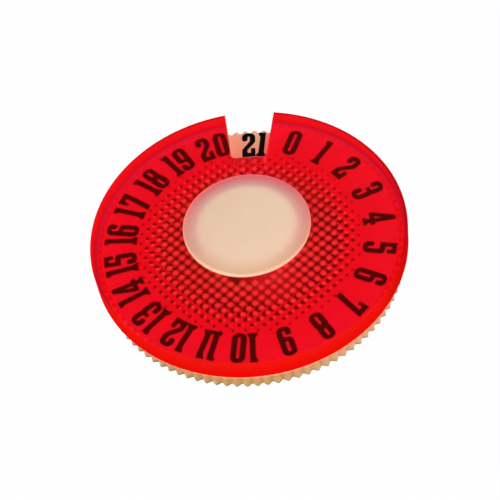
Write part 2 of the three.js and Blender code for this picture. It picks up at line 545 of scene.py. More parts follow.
def whereabouts(tree, place):
    """The distance of each point from the turning axis, and its X, Y and Z."""
    reach = vector_node(tree, "LENGTH", flattened(tree, place), out="Value")
    ways = add_node(tree, "ShaderNodeSeparateXYZ", Vector=place).outputs
    return reach, ways["X"], ways["Y"], ways["Z"]


def new_group(name, inputs, outputs):
    """A shader node group with its sockets, or the one already made, and whether it is new."""
    if name in bpy.data.node_groups:
        return bpy.data.node_groups[name], False
    tree = bpy.data.node_groups.new(name, "ShaderNodeTree")
    for title, kind, default in inputs:
        socket = tree.interface.new_socket(name=title, in_out="INPUT", socket_type=kind)
        if default is not None:
            socket.default_value = default
    for title, kind in outputs:
        tree.interface.new_socket(name=title, in_out="OUTPUT", socket_type=kind)
    tree.nodes.new("NodeGroupInput")
    tree.nodes.new("NodeGroupOutput")
    return tree, True


def group_ends(tree):
    ends = {node.bl_idname: node for node in tree.nodes}
    return ends["NodeGroupInput"].outputs, ends["NodeGroupOutput"].inputs


def use_group(tree, group, **inputs):
    return add_node(tree, "ShaderNodeGroup", set_node_tree=group, **inputs).outputs


def halftone_group():
    """Round dots on a square grid, whose size falls off with their distance from the axis."""
    tree, new = new_group(
        "Halftone Dots",
        (
            ("Vector", "NodeSocketVector", None),
            ("Nearer", "NodeSocketFloat", 0.0),
            ("Pitch", "NodeSocketFloat", 1.04 * MM),
            ("Outer Distance", "NodeSocketFloat", 13.6 * MM),
            ("Outer Radius", "NodeSocketFloat", 0.13 * MM),
            ("Growth", "NodeSocketFloat", 0.0625),
            ("Swelling", "NodeSocketFloat", 12.0),
            ("Blur", "NodeSocketFloat", 0.12 * MM),
        ),
        (("Mask", "NodeSocketFloat"),),
    )
    if not new:
        return tree
    given, out = group_ends(tree)
    back = add_node(tree, "ShaderNodeCombineXYZ", Y=given["Nearer"]).outputs[0]
    grid = turned(tree, vector_node(tree, "ADD", given["Vector"], back), DOT_GRID_TURN)
    pitch = add_node(
        tree, "ShaderNodeCombineXYZ", X=given["Pitch"], Y=given["Pitch"], Z=given["Pitch"]
    ).outputs[0]
    cells = vector_node(tree, "ADD", vector_node(tree, "DIVIDE", grid, pitch), (0.5, 0.5, 0.5))
    centre = flattened(tree, vector_node(tree, "MULTIPLY", vector_node(tree, "FLOOR", cells), pitch))
    away = vector_node(tree, "DISTANCE", flattened(tree, grid), centre, out="Value")
    reach = vector_node(tree, "LENGTH", centre, out="Value")
    inside = math_node(tree, "SUBTRACT", given["Outer Distance"], reach)
    growth = math_node(tree, "MULTIPLY_ADD", inside, given["Swelling"], given["Growth"])
    radius = math_node(tree, "MULTIPLY_ADD", inside, growth, given["Outer Radius"])
    mask = math_node(tree, "DIVIDE", math_node(tree, "SUBTRACT", radius, away), given["Blur"])
    mask = math_node(tree, "ADD", mask, 0.5, clamp=True)
    there = math_node(tree, "GREATER_THAN", inside, 0.0)
    tree.links.new(product(tree, mask, there), out["Mask"])
    return tree


def hairline_group():
    """Fine handling scratches: a few thin lines in two directions, as a mask."""
    tree, new = new_group(
        "Hairline Scratches",
        (("Vector", "NodeSocketVector", None), ("Spread", "NodeSocketFloat", 1.0)),
        (("Mask", "NodeSocketFloat"),),
    )
    if not new:
        return tree
    given, out = group_ends(tree)
    masks = []
    for turn, stretch in ((25.0, 0.05), (-48.0, 0.08)):
        placed = add_node(
            tree, "ShaderNodeMapping", Vector=given["Vector"], Rotation=(0.0, 0.0, math.radians(turn)),
            Scale=(1100.0, 1100.0 * stretch, 300.0),
        ).outputs[0]
        lines = noise(tree, placed, 3.0, 3.0, Roughness=0.5, Distortion=0.2)
        masks.append(ramp(tree, lines, 0.66, 0.74, kind="SMOOTHSTEP"))
    both = math_node(tree, "MAXIMUM", *masks)
    tree.links.new(math_node(tree, "MULTIPLY", both, given["Spread"], clamp=True), out["Mask"])
    return tree


def cut_edge_group():
    """A laser-cut wall: a mask of the upright faces, and the fine upright streaks that the cut leaves."""
    tree, new = new_group(
        "Cut Edge",
        (("Vector", "NodeSocketVector", None), ("Normal", "NodeSocketVector", None)),
        (("Wall", "NodeSocketFloat"), ("Streaks", "NodeSocketFloat")),
    )
    if not new:
        return tree
    given, out = group_ends(tree)
    facing = add_node(tree, "ShaderNodeSeparateXYZ", Vector=given["Normal"]).outputs["Z"]
    wall = ramp(tree, math_node(tree, "ABSOLUTE", facing), 0.35, 0.85, 1.0, 0.0, kind="SMOOTHSTEP")
    drawn = add_node(
        tree, "ShaderNodeMapping", Vector=given["Vector"], Scale=(9000.0, 9000.0, 260.0)
    ).outputs[0]
    streaks = noise(tree, drawn, 1.0, 4.0, Roughness=0.6)
    tree.links.new(wall, out["Wall"])
    tree.links.new(product(tree, streaks, wall), out["Streaks"])
    return tree


def new_material(name):
    """An empty material, its tree, its output node, and the object coordinates and normal."""
    material = bpy.data.materials.new(name)
    material.use_nodes = True
    tree = material.node_tree
    tree.nodes.clear()
    out = tree.nodes.new("ShaderNodeOutputMaterial")
    place = tree.nodes.new("ShaderNodeTexCoord")
    return material, tree, out, place.outputs["Object"], place.outputs["Normal"]


def let_light_through(tree, out, shader, shade):
    """Ends a clear material: the lamps' light passes it in a colour, and all else meets its shader."""
    passing = add_node(tree, "ShaderNodeBsdfTransparent", Color=shade)
    rays = tree.nodes.new("ShaderNodeLightPath")
    mixed = add_node(
        tree, "ShaderNodeMixShader",
        Fac=rays.outputs["Is Shadow Ray"], i1=shader.outputs[0], i2=passing.outputs[0],
    )
    tree.links.new(mixed.outputs[0], out.inputs["Surface"])


def times(base, shade):
    return tuple(c * s for c, s in zip(base, shade))


def mottled(tree, place, base, shade, scale=180.0, share=0.5):
    """A colour that drifts softly towards a shade of itself."""
    drift = noise(tree, place, scale, 4.0, Roughness=0.55)
    return mix_colour(tree, ramp(tree, drift, 0.35, 0.7, high=share), base, times(base, shade))


def worn_roughness(tree, wall, face_value, wall_value, scratches, more):
    """One roughness on the faces and another on the walls, with more of it on the scratches."""
    plain = ramp(tree, wall, 0.0, 1.0, face_value, wall_value)
    return math_node(tree, "ADD", plain, product(tree, scratches, more))


def ivory_material(name):
    """Ivory acrylic sheet with laser-cut walls and the dark dots printed round the hub, with painted glow,
    light and shade.
    """
    tint, size = colours(), sizes()
    material, tree, out, place, normal = new_material(name)
    reach, x, y, z = whereabouts(tree, place)
    cut = use_group(tree, cut_edge_group(), Vector=place, Normal=normal)

    face = mottled(tree, place, tint.ivory, (0.96, 0.94, 0.9))
    on_top = math_node(tree, "COMPARE", z, WHEEL_HIGH.z, TOP_FACE_DEPTH)
    dial_light = mix_colour(tree, ramp(tree, reach, *DIAL_LIGHT_REACH), tint.glow_inner, tint.glow_outer)
    face = mix_colour(tree, on_top, face, dial_light, blend="MULTIPLY")

    edge = mix_colour(tree, cut["Streaks"], tint.ivory_edge, times(tint.ivory_edge, (0.82, 0.82, 0.82)))
    # painted light: the cut edge is drawn lighter towards its sides, more so towards +X
    pale = math_node(tree, "MAXIMUM", ramp(tree, x, *SIDE_LIGHT_LEFT, high=0.5), ramp(tree, x, *SIDE_LIGHT_RIGHT))
    edge = mix_colour(tree, pale, edge, tint.lit_side_edge)
    # painted glow of the dial on a band of the cut edge just under the dial's rim
    past_dial = math_node(tree, "SUBTRACT", size.dial_radius, reach)
    slanted = math_node(tree, "MULTIPLY_ADD", past_dial, GLOW_SLANT, z)
    dial_glow_band = ramp(tree, slanted, *DIAL_GLOW_HEIGHTS)
    edge = mix_colour(tree, dial_glow_band, edge, tint.painted_dial_glow)
    # painted shade: the cut edge darkens towards its foot, more so towards -X
    foot = product(tree, ramp(tree, z, *FOOT_SHADE_HEIGHT, 1.0, 0.0), ramp(tree, x, *FOOT_SHADE_ACROSS, 1.0, 0.45))
    edge = mix_colour(tree, foot, edge, tint.shaded_edge_foot)

    body = mix_colour(tree, cut["Wall"], face, edge)
    # painted glow of the dial on the axle disc's top, towards its rim
    on_axle = math_node(tree, "GREATER_THAN", z, WHEEL_HIGH.z + ABOVE_WHEEL)
    axle_rim_glow = ramp(tree, reach, AXLE_GLOW_REACH, size.axle_radius, high=0.6, kind="SMOOTHSTEP")
    body = mix_colour(tree, product(tree, axle_rim_glow, on_axle), body, tint.painted_dial_glow)
    gleam = mix_colour(tree, product(tree, dial_glow_band, cut["Wall"]), BLACK, tint.edge_gleam)

    dots = use_group(
        tree, halftone_group(), Vector=place, Nearer=size.dots_nearer, Pitch=size.dot_pitch
    )["Mask"]
    # painted light: the printed dots are drawn lighter towards the far side
    dot = mix_colour(tree, ramp(tree, y, *FAR_DOT_LIGHT_ALONG), tint.dark_dot, tint.lit_far_dot)
    # painted reflection of the cap's bright edge on the dots beside the hub's near side
    away = vector_node(tree, "DISTANCE", place, (*REFLECTION_MIDDLE, WHEEL_HIGH.z), out="Value")
    dot = mix_colour(tree, ramp(tree, away, *REFLECTION_REACH, high=0.85), dot, tint.reflected_dot)
    body = mix_colour(tree, product(tree, dots, on_top), body, dot)

    scratches = use_group(tree, hairline_group(), Vector=place, Spread=0.6)["Mask"]
    rough = worn_roughness(tree, cut["Wall"], 0.28, 0.42, scratches, 0.2)
    relief = math_node(tree, "SUBTRACT", product(tree, cut["Streaks"], 0.6), scratches)
    shader = add_node(
        tree, "ShaderNodeBsdfPrincipled", Base_Color=body, Roughness=rough, IOR=ACRYLIC_IOR,
        Normal=bump(tree, relief, 0.35, 0.01 * MM), Subsurface_Weight=0.12,
        Subsurface_Radius=(1.0, 0.6, 0.35), Subsurface_Scale=0.8 * MM,
        Emission_Color=gleam, Emission_Strength=1.0,
    )
    tree.links.new(shader.outputs[0], out.inputs["Surface"])
    return material


def ink_material(name):
    """Black ink filled into the wheel, with a slightly uneven gloss."""
    material, tree, out, place, _ = new_material(name)
    ink = mottled(tree, place, colours().ink, (2.2, 2.0, 1.9), scale=900.0, share=0.8)
    grain = noise(tree, place, 2600.0, 2.0)
    shader = add_node(
        tree, "ShaderNodeBsdfPrincipled", Base_Color=ink, Roughness=ramp(tree, grain, 0.3, 0.7, 0.42, 0.58),
        Normal=bump(tree, grain, 0.2, 0.004 * MM), IOR=1.45, Specular_IOR_Level=0.08,
    )
    tree.links.new(shader.outputs[0], out.inputs["Surface"])
    return material


def red_material(name):
    """Clear red acrylic sheet: polished glass-like faces that let the lamps through onto the wheel, with
    painted glow and shade.
    """
    tint = colours()
    material, tree, out, place, _ = new_material(name)
    reach, x, y, z = whereabouts(tree, place)
    red = mottled(tree, place, tint.red, (1.0, 0.8, 0.9), scale=120.0, share=0.6)

    # painted shade: the underside is darker past the wheel's teeth than over their gaps, darkening the
    # white floor seen through it there, less so towards -Y
    under = math_node(tree, "LESS_THAN", z, DIAL_LOW.z + UNDERSIDE_DEPTH)
    inwards = ramp(tree, y, *INWARDS, low=0.3)
    gap_shade_mask = product(tree, ramp(tree, reach, *GAPS_REACH), under, inwards)
    red = mix_colour(tree, gap_shade_mask, red, tint.gap_shade_colour)
    # painted shade: a dark line along the far and right edge, with a weaker glow on it
    far_right = vector_node(tree, "DOT_PRODUCT", place, FAR_RIGHT, out="Value")
    line = product(tree, ramp(tree, reach, *EDGE_SHADE_REACH), ramp(tree, far_right, 0.0, EDGE_SHADE_FADE))
    red = mix_colour(tree, line, red, tint.painted_edge_shade)
    rightwards = math_node(
        tree, "MAXIMUM", ramp(tree, x, *DEEP_RIGHT), ramp(tree, y, *DEEP_NEAR, high=0.8)
    )
    beyond_shade = mix_colour(tree, rightwards, tint.beyond_teeth_shade, tint.beyond_teeth_shade_right)
    beyond_teeth_mask = product(tree, ramp(tree, reach, *PAST_TEETH_REACH), under, inwards)
    red = mix_colour(tree, beyond_teeth_mask, red, beyond_shade)

    lean = vector_node(tree, "DOT_PRODUCT", place, FAR_SIDE, out="Value")
    rim = ramp(tree, math_node(tree, "ADD", reach, lean), *RIM_SHINE_REACH)
    shine = mix_colour(tree, rim, tint.shine, RIM_SHINE)
    shine = mix_colour(tree, line, shine, EDGE_SHADE_SHINE)
    scratches = use_group(tree, hairline_group(), Vector=place, Spread=0.4)["Mask"]
    glass = add_node(
        tree, "ShaderNodeBsdfPrincipled", Base_Color=red, IOR=ACRYLIC_IOR, Transmission_Weight=1.0,
        Roughness=ramp(tree, scratches, 0.0, 1.0, 0.18, 0.22), Specular_Tint=(0.75, 0.75, 0.45),
        Normal=bump(tree, scratches, 0.12, 0.004 * MM), Emission_Color=shine, Emission_Strength=0.032,
    )
    let_light_through(tree, out, glass, tint.red_shade)
    return material


def red_edge_material(name):
    """Cut wall of the red sheet, with a painted glow for the light that the whole sheet gathers there."""
    tint = colours()
    material, tree, out, place, normal = new_material(name)
    _, x, _, z = whereabouts(tree, place)
    streaks = use_group(tree, cut_edge_group(), Vector=place, Normal=normal)["Streaks"]
    red = mix_colour(tree, streaks, tint.red_wall, times(tint.red_wall, (0.92, 0.92, 0.92)))
    low_down = ramp(tree, z, DIAL_LOW.z, DIAL_HIGH.z, 1.0, 0.0, kind="SMOOTHSTEP")
    glow = mix_colour(tree, low_down, tint.wall_glow, tint.wall_glow_low)
    glow = mix_colour(tree, ramp(tree, x, *WALL_RIGHT, high=0.7), glow, tint.wall_glow_right)
    shader = add_node(
        tree, "ShaderNodeBsdfPrincipled", Base_Color=red, Roughness=ramp(tree, streaks, 0.2, 0.8, 0.4, 0.5),
        IOR=ACRYLIC_IOR, Normal=bump(tree, streaks, 0.05, 0.002 * MM), Emission_Color=glow,
        Emission_Strength=1.0, Specular_IOR_Level=0.0,
    )
    let_light_through(tree, out, shader, tint.red_shade)
    return material


def light_dot_material(name):
    """Frosted dots that catch the light under the dial."""
    tint, size = colours(), sizes()
    material, tree, out, place, _ = new_material(name)
    middle = use_group(
        tree, halftone_group(), Nearer=size.dots_nearer, Pitch=size.dot_pitch,
        Vector=turned(tree, place, -size.dial_dot_turn, (0.0, -size.dots_nearer, 0.0)),
        Outer_Distance=20.0 * MM, Growth=0.0, Swelling=0.0, Outer_Radius=0.36 * MM, Blur=0.34 * MM,
    )["Mask"]
    frost = mottled(tree, place, tint.light_dot, (0.92, 0.9, 0.88), scale=700.0, share=0.8)
    frost = mix_colour(tree, middle, tint.light_dot_edge, frost)
    rough = ramp(tree, noise(tree, place, 4000.0, 2.0), 0.3, 0.7, 0.6, 0.85)
    shader = add_node(
        tree, "ShaderNodeBsdfPrincipled", Base_Color=frost, Roughness=rough, IOR=ACRYLIC_IOR
    )
    tree.links.new(shader.outputs[0], out.inputs["Surface"])
    return material


def cap_material(name):
    """Thin cloudy ivory cap that lets some light through, with the red dial's light painted on its rim."""
    tint = colours()
    material, tree, out, place, normal = new_material(name)
    reach, x, y, z = whereabouts(tree, place)
    face = mottled(tree, place, tint.cap, (0.97, 0.95, 0.92), scale=260.0)
    # painted red light: the dial's red seen through the cap, drawn on its rim, redder towards the far side
    # and paler towards the near side
    rim = mix_colour(tree, ramp(tree, y, 0.0, CAP_RED_LIGHT_WAY), tint.cap_side_red_light, tint.cap_far_red_light)
    rim = mix_colour(tree, ramp(tree, y, 0.0, -CAP_RED_LIGHT_WAY), rim, tint.cap_near_red_light)
    face = mix_colour(tree, ramp(tree, reach, *CAP_RED_LIGHT_REACH, kind="SMOOTHSTEP"), face, rim)

    cut = use_group(tree, cut_edge_group(), Vector=place, Normal=normal)
    gathered = product(tree, cut["Wall"], ramp(tree, z, *CAP_EDGE_HEIGHT, 1.0, 0.0))
    glow = mix_colour(tree, gathered, BLACK, tint.cap_glow)
    brink = product(tree, ramp(tree, reach, *CAP_BRINK_REACH), ramp(tree, x, *CAP_BRINK_LEFT))
    glow = mix_colour(tree, brink, glow, tint.cap_brink)

    scratches = use_group(tree, hairline_group(), Vector=place, Spread=0.4)["Mask"]
    rough = worn_roughness(tree, cut["Wall"], 0.4, 0.45, scratches, 0.2)
    cloudy = add_node(
        tree, "ShaderNodeBsdfPrincipled", Base_Color=face, Roughness=rough, IOR=ACRYLIC_IOR,
        Normal=bump(tree, product(tree, cut["Streaks"], 0.5), 0.2, 0.004 * MM),
        Transmission_Weight=0.45, Emission_Color=glow, Emission_Strength=1.0,
    )
    let_light_through(tree, out, cloudy, tint.cap_shade)
    return material


def material_named(name):
    """The material of that name, made the first time only."""
    return bpy.data.materials.get(name) or MATERIAL_MAKERS[name](name)


MATERIAL_MAKERS = {
    "Ivory acrylic": ivory_material,
    "Number ink": ink_material,
    "Clear red acrylic": red_material,
    "Glowing red edge": red_edge_material,
    "Frosted dots": light_dot_material,
    "Ivory cap acrylic": cap_material,
}


# The pieces

# A tooth from root to root: its corners along the pitch and up the depth
TOOTH_SHARES = (
    (-0.5, 0.0), (-0.44, 0.0), (-0.09, 0.88), (0.0, 1.0), (0.09, 0.88), (0.44, 0.0), (0.5, 0.0),
)
# The width of the ring that carries the teeth, and the place of the small sheet that becomes a tooth
TOOTH_STRIP = 1.2 * MM
STRIP_AT = 18.0 * MM
WHEEL_RINGS = (14.0 * MM, 8.0 * MM, 2.5 * MM)
DIAL_RING = 12.0 * MM
CUTTER_AT = 15.0 * MM
CUT_PAST = 0.5 * MM
INK_DEPTH = 0.02 * MM
LIGHT_DOT_BELOW, LIGHT_DOT_INTO = 0.015 * MM, 0.005 * MM
HUB_OVERLAP = 0.01 * MM
DIAL_SIDES, AXLE_SIDES, CAP_SIDES, DOT_SIDES = 288, 192, 256, 14
SMOOTH_ANGLE, EDGE_ANGLE = math.radians(30), math.radians(40)
FLOOR_RADIUS, FLOOR_WHITE = 3.0, 0.98


class LIFECOUNTER_OT_wheel(Operator):
    """Make the ivory number wheel with its serrated rim"""

    bl_idname = "lifecounter.wheel"
    bl_label = "Number Wheel"
    bl_options = {"REGISTER", "UNDO"}

    def execute(self, context):
        size = sizes()
        start_piece()
        inner = size.wheel_radius - TOOTH_STRIP
        root = size.wheel_radius - size.tooth_depth
        pitch = 2 * math.pi / size.tooth_count
        columns = len(TOOTH_SHARES) - 1
        bpy.ops.mesh.primitive_grid_add(
            x_subdivisions=columns, y_subdivisions=1, size=MM, location=(0.0, STRIP_AT, 0.0)
        )
        wheel = name_piece("number_wheel_disc")
        bpy.ops.object.transform_apply(location=True)
        open_piece()
        # one tooth, from root to root, over a strip of the ring behind it
        for column, (along, rise) in enumerate(TOOTH_SHARES):
            x = (column / columns - 0.5) * MM
            turn = along * pitch
            tip = on_circle(root + rise * size.tooth_depth, turn)
            carry_corner(wheel, Vector((x, STRIP_AT + MM / 2, 0.0)), tip)
            carry_corner(wheel, Vector((x, STRIP_AT - MM / 2, 0.0)), on_circle(inner, turn))
        bpy.ops.mesh.select_all(action="SELECT")
        bpy.ops.mesh.spin(
            steps=size.tooth_count - 1, dupli=True, angle=2 * math.pi - pitch,
            center=AXIS, axis=(0.0, 0.0, 1.0),
        )
        bpy.ops.mesh.select_all(action="SELECT")
        bpy.ops.mesh.remove_doubles(threshold=JOIN)
        within = inner + 0.01 * MM
        select_part(wheel, "EDGE", lambda at, e: math.hypot(at.x, at.y) < within and e.is_boundary)
        for radius in WHEEL_RINGS:
            draw_ring_in(inner, radius)
            inner = radius
        bpy.ops.mesh.edge_face_add()
        thicken_sheet(WHEEL_HIGH.z - WHEEL_LOW.z)
        select_part(wheel, "EDGE", lambda at, e: is_rim_edge(e))
        bpy.ops.mesh.bevel(offset=size.wheel_edge, segments=2, affect="EDGES", clamp_overlap=True)
        bpy.ops.mesh.select_all(action="SELECT")
        bpy.ops.mesh.normals_make_consistent(inside=False)
        close_piece()
        bpy.ops.object.shade_smooth_by_angle(angle=SMOOTH_ANGLE)
        finish_piece(wheel, "wheel", "ivory_acrylic", material_named("Ivory acrylic"), "number_wheel")
        return {"FINISHED"}


def rounded(outline, step=math.radians(12)):
    """The points of an outline whose corners are rounded, each by its own radius."""
    points = []
    for i, (x, y, radius) in enumerate(outline):
        corner = Vector((x, y))
        back = Vector(outline[i - 1][:2]) - corner
        ahead = Vector(outline[(i + 1) % len(outline)][:2]) - corner
        most = 0.49 * min(back.length, ahead.length)
        back.normalize()
        ahead.normalize()
        half = math.acos(max(-1.0, min(1.0, back.dot(ahead)))) / 2
        cut = min(radius / math.tan(half), most)
        radius = cut * math.tan(half)
        middle = corner + (back + ahead).normalized() * radius / math.sin(half)
        first, last = corner + back * cut - middle, corner + ahead * cut - middle
        turn = first.angle_signed(last)
        count = max(1, math.ceil(abs(turn) / step))
        start = math.atan2(first.y, first.x)
        for j in range(count + 1):
            way = start - turn * j / count
            points.append(middle + Vector((math.cos(way), math.sin(way))) * radius)
    return points


def draw_digit(figure, low, high):
    """One digit as a thin flat solid, from the height low to high, centred on the axis."""
    curve = bpy.data.curves.new("digit_" + figure, "CURVE")
    curve.dimensions = "2D"
    curve.fill_mode = "BOTH"
    curve.extrude = (high - low) / 2
    for outline in DIGIT_OUTLINES[figure]:
        points = rounded(outline)
        spline = curve.splines.new("POLY")
        spline.points.add(len(points) - 1)
        for slot, point in zip(spline.points, points):
            slot.co = (point.x * MM, point.y * MM, 0.0, 1.0)
        spline.use_cyclic_u = True
    digit = bpy.data.objects.new("digit_" + figure, curve)
    bpy.context.scene.collection.objects.link(digit)
    pick(digit)
    bpy.ops.object.convert(target="MESH")
    digit = bpy.context.object
    digit.location = (0.0, 0.0, (low + high) / 2)
    bpy.ops.object.transform_apply(location=True)
    open_piece()
    clean_mesh(WELD)
    close_piece()
    return digit


def lay_copy(piece, matrix):
    """A copy of the piece with its own mesh, laid at a place."""
    twin = piece.copy()
    twin.data = piece.data.copy()
    bpy.context.scene.collection.objects.link(twin)
    twin.data.transform(matrix)
    return twin


def join_copies(name, copies):
    start_piece()
    for twin in copies:
        twin.select_set(True)
    bpy.context.view_layer.objects.active = copies[0]
    bpy.ops.object.join()
    return name_piece(name)


class LIFECOUNTER_OT_numbers(Operator):
    """Make the inked numbers on the wheel"""

    bl_idname = "lifecounter.numbers"
    bl_label = "Numbers"
    bl_options = {"REGISTER", "UNDO"}

    def execute(self, context):
        size = sizes()
        top = WHEEL_HIGH.z
        digits = {
            figure: draw_digit(figure, top - INK_DEPTH, top + size.ink_height) for figure in DIGIT_OUTLINES
        }
        laid = []
        middle = Vector((size.numbers_right, size.numbers_out, 0.0))
        for number, place in NUMBER_PLACES:
            steps = [NARROW_STEP if figure == "1" else WIDE_STEP for figure in number]
            at = place - sum(steps) / 2
            ring = size.number_ring + (size.shown_number_out if number == "21" else 0.0)
            for figure, step in zip(number, steps):
                turn = math.radians(at + step / 2)
                place_of_digit = Matrix.Translation(middle + on_circle(ring, turn))
                laid.append(lay_copy(digits[figure], place_of_digit @ Matrix.Rotation(-turn, 4, "Z")))
                at += step
        for digit in digits.values():
            bpy.data.objects.remove(digit)
        numbers = join_copies("wheel_numbers", laid)
        finish_piece(numbers, "wheel", "ivory_acrylic", material_named("Number ink"))
        return {"FINISHED"}


class LIFECOUNTER_OT_dial(Operator):
    """Make the clear red dial with its hole and its window"""

    bl_idname = "lifecounter.dial"
    bl_label = "Window Dial"
    bl_options = {"REGISTER", "UNDO"}

    def execute(self, context):
        size = sizes()
        low, high = DIAL_LOW.z, DIAL_HIGH.z
        start_piece()
        bpy.ops.mesh.primitive_circle_add(
            vertices=DIAL_SIDES, radius=size.dial_radius, fill_type="NOTHING", location=(0.0, 0.0, low)
        )
        dial = name_piece("red_window_dial")
        open_piece()
        bpy.ops.mesh.select_mode(type="EDGE")
        bpy.ops.mesh.select_all(action="SELECT")
        draw_ring_in(size.dial_radius, DIAL_RING)
        draw_ring_in(DIAL_RING, size.dial_bore)
        thicken_sheet(high - low)
        close_piece()

        # the window's cutter, a tapered prism with two rounded corners
        start_piece()
        reach = size.dial_radius + 2 * CUT_PAST
        rim_y = math.sqrt(size.dial_radius**2 - (size.window_rim / 2) ** 2)
        slope = (size.window_rim - size.window_end) / 2 / (rim_y - size.window_reach)
        below = low - CUT_PAST
        bpy.ops.mesh.primitive_plane_add(size=2 * MM, location=(0.0, CUTTER_AT, below))
        cutter = name_piece("window_cutter")
        bpy.ops.object.transform_apply(location=True)
        open_piece()
        for side in (-1, 1):
            inner_end = Vector((side * size.window_end / 2, size.window_reach, below))
            outer_end = Vector((side * (size.window_rim / 2 + slope * (reach - rim_y)), reach, below))
            carry_corner(cutter, Vector((side * MM, CUTTER_AT - MM, below)), inner_end)
            carry_corner(cutter, Vector((side * MM, CUTTER_AT + MM, below)), outer_end)
        select_part(cutter, "VERT", lambda at, v: at.y < size.window_reach + 0.1 * MM)
        corner = (math.pi / 2 + math.atan(slope)) / 2
        bpy.ops.mesh.bevel(offset=size.window_corner / math.tan(corner), segments=8, affect="VERTICES")
        thicken_sheet(high - low + 2 * CUT_PAST)
        close_piece()

        pick(dial)
        add_modifier(dial, "BOOLEAN", operation="DIFFERENCE", object=cutter, solver="EXACT")
        bpy.data.objects.remove(cutter)
        open_piece()
        clean_mesh(JOIN)
        close_piece()
        add_modifier(
            dial, "BEVEL", width=size.dial_edge, segments=3, limit_method="ANGLE",
            angle_limit=EDGE_ANGLE, miter_outer="MITER_ARC",
        )
        bpy.ops.object.shade_smooth()
        add_modifier(dial, "WEIGHTED_NORMAL", weight=100)
        dial.rotation_euler.z = size.dial_turn
        finish_piece(dial, "dial", "red_acrylic", material_named("Clear red acrylic"), "top_dial")
        bpy.ops.object.material_slot_add()
        dial.material_slots[1].material = material_named("Glowing red edge")
        open_piece()
        rim = size.dial_radius - 1.5 * size.dial_edge
        select_part(dial, "FACE", lambda at, f: abs(f.normal.z) < 0.97 and math.hypot(at.x, at.y) > rim)
        dial.active_material_index = 1
        bpy.ops.object.material_slot_assign()
        close_piece()
        return {"FINISHED"}


def between(table, x):
    """The value at x on a table of straight lines, and 0 outside it."""
    for (x0, y0), (x1, y1) in zip(table, table[1:]):
        if x0 <= x <= x1:
            return y0 + (y1 - y0) * (x - x0) / (x1 - x0)
    return 0.0


class LIFECOUNTER_OT_dots(Operator):
    """Make the frosted dots under the dial"""

    bl_idname = "lifecounter.dots"
    bl_label = "Frosted Dots"
    bl_options = {"REGISTER", "UNDO"}

    def execute(self, context):
        size = sizes()
        dot = draw_disc("dot", DOT_SIDES, MM, DIAL_LOW.z - LIGHT_DOT_BELOW, DIAL_LOW.z + LIGHT_DOT_INTO)
        laid = []
        reach = int(LIGHT_DOT_SIZES[-1][0] * MM / size.dot_pitch) + 1
        grid_turn = Matrix.Rotation(DOT_GRID_TURN + size.dial_dot_turn, 4, "Z")
        grid_place = Matrix.Translation((0.0, -size.dots_nearer, 0.0)) @ grid_turn
        window_half = size.window_end / 2 + 0.5 * MM
        for i in range(-reach, reach + 1):
            for j in range(-reach, reach + 1):
                radius = between(LIGHT_DOT_SIZES, math.hypot(i, j) * size.dot_pitch / MM)
                if radius < LIGHT_DOT_MIN:
                    continue
                at = grid_place @ Vector((i * size.dot_pitch, j * size.dot_pitch, 0.0))
                if at.y > size.window_reach - radius * MM - 0.1 * MM and abs(at.x) < window_half:
                    continue
                scaled = Matrix.Diagonal((radius, radius, 1.0, 1.0))
                laid.append(lay_copy(dot, Matrix.Translation(at) @ scaled))
        bpy.data.objects.remove(dot)
        dots = join_copies("dial_frosted_dots", laid)
        finish_piece(dots, "dial", "red_acrylic", material_named("Frosted dots"))
        return {"FINISHED"}


class LIFECOUNTER_OT_hub(Operator):
    """Make the hub, the axle disc and the thin cap over it"""

    bl_idname = "lifecounter.hub"
    bl_label = "Hub"
    bl_options = {"REGISTER", "UNDO"}

    def execute(self, context):
        size = sizes()
        low, high = AXLE_LOW.z - HUB_OVERLAP, AXLE_HIGH.z + HUB_OVERLAP
        axle = draw_disc("hub_axle_disc", AXLE_SIDES, size.axle_radius, low, high)
        open_piece()
        select_part(axle, "EDGE", lambda at, e: is_rim_edge(e))
        bpy.ops.mesh.bevel(offset=size.axle_edge, segments=2, affect="EDGES")
        close_piece()
        bpy.ops.object.shade_smooth_by_angle(angle=SMOOTH_ANGLE)
        finish_piece(axle, "wheel", "ivory_acrylic", material_named("Ivory acrylic"), "hub_axle")

        middle = (CAP_LOW.z + CAP_HIGH.z) / 2
        cap = draw_disc("hub_cap_disc", CAP_SIDES, size.cap_radius, CAP_LOW.z, CAP_HIGH.z)
        open_piece()
        select_part(cap, "EDGE", lambda at, e: is_rim_edge(e) and at.z > middle)
        bpy.ops.mesh.bevel(offset=size.cap_edge, segments=6, affect="EDGES")
        select_part(cap, "EDGE", lambda at, e: is_rim_edge(e) and at.z < middle)
        bpy.ops.mesh.bevel(offset=size.cap_foot, segments=2, affect="EDGES")
        close_piece()
        bpy.ops.object.shade_smooth_by_angle(angle=SMOOTH_ANGLE)
        finish_piece(cap, "wheel", "cap_acrylic", material_named("Ivory cap acrylic"), "hub_cap")
        return {"FINISHED"}


# The stage


def white_ground():
    """Pale floor that the camera, mirrors and glass see as white, with the soft shadow kept on it."""
    material, tree, out, place, _ = new_material("Pale floor")
    paper = mix_colour(tree, noise(tree, place, 40.0, 3.0), (0.90, 0.90, 0.90), (0.93, 0.93, 0.93))
    lit = add_node(tree, "ShaderNodeBsdfDiffuse", Color=paper)
    white = add_node(tree, "ShaderNodeEmission", Color=(1.0, 1.0, 1.0), Strength=1.0)
    shown = add_node(tree, "ShaderNodeMixShader", Fac=FLOOR_WHITE, i1=lit.outputs[0], i2=white.outputs[0])
    rays = tree.nodes.new("ShaderNodeLightPath").outputs
    seen = math_node(tree, "MAXIMUM", rays["Is Camera Ray"], rays["Is Glossy Ray"])
    seen = math_node(tree, "MAXIMUM", seen, rays["Is Transmission Ray"])
    mixed = add_node(tree, "ShaderNodeMixShader", Fac=seen, i1=lit.outputs[0], i2=shown.outputs[0])
    tree.links.new(mixed.outputs[0], out.inputs["Surface"])
    return material


